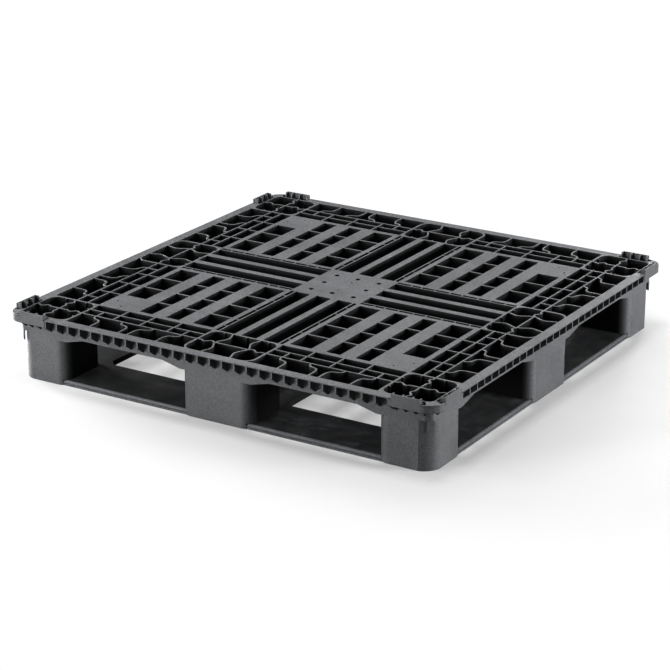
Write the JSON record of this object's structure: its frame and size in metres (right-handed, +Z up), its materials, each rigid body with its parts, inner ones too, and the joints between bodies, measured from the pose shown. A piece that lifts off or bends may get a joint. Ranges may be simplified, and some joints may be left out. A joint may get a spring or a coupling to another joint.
{
  "type": "plastic pallet",
  "caption": "Square hollow-leg plastic pallet with an open ribbed deck, raised toothed corner lips, a perimeter base and fork entries on every side.",
  "frame": {"origin": "centre of the footprint on the floor", "axes": "+Z up; X along the front side, Y from the front side to the back side"},
  "size_m": [1.14, 1.14, 0.17],
  "materials": {
    "deck_plastic": "fine moulded grain, lightly scuffed",
    "guard_plastic": "fine moulded grain, lightly scuffed",
    "base_plastic": "dark recycled plastic, matte",
    "screw_steel": "zinc plated"
  },
  "bodies": {
    "root": {"top_deck": "deck_plastic", "base_frame": "base_plastic", "corner_guard_front_left": "guard_plastic", "corner_guard_front_right": "guard_plastic", "corner_guard_back_left": "guard_plastic", "corner_guard_back_right": "guard_plastic", "base_screws": "screw_steel"}
  },
  "joints": []
}
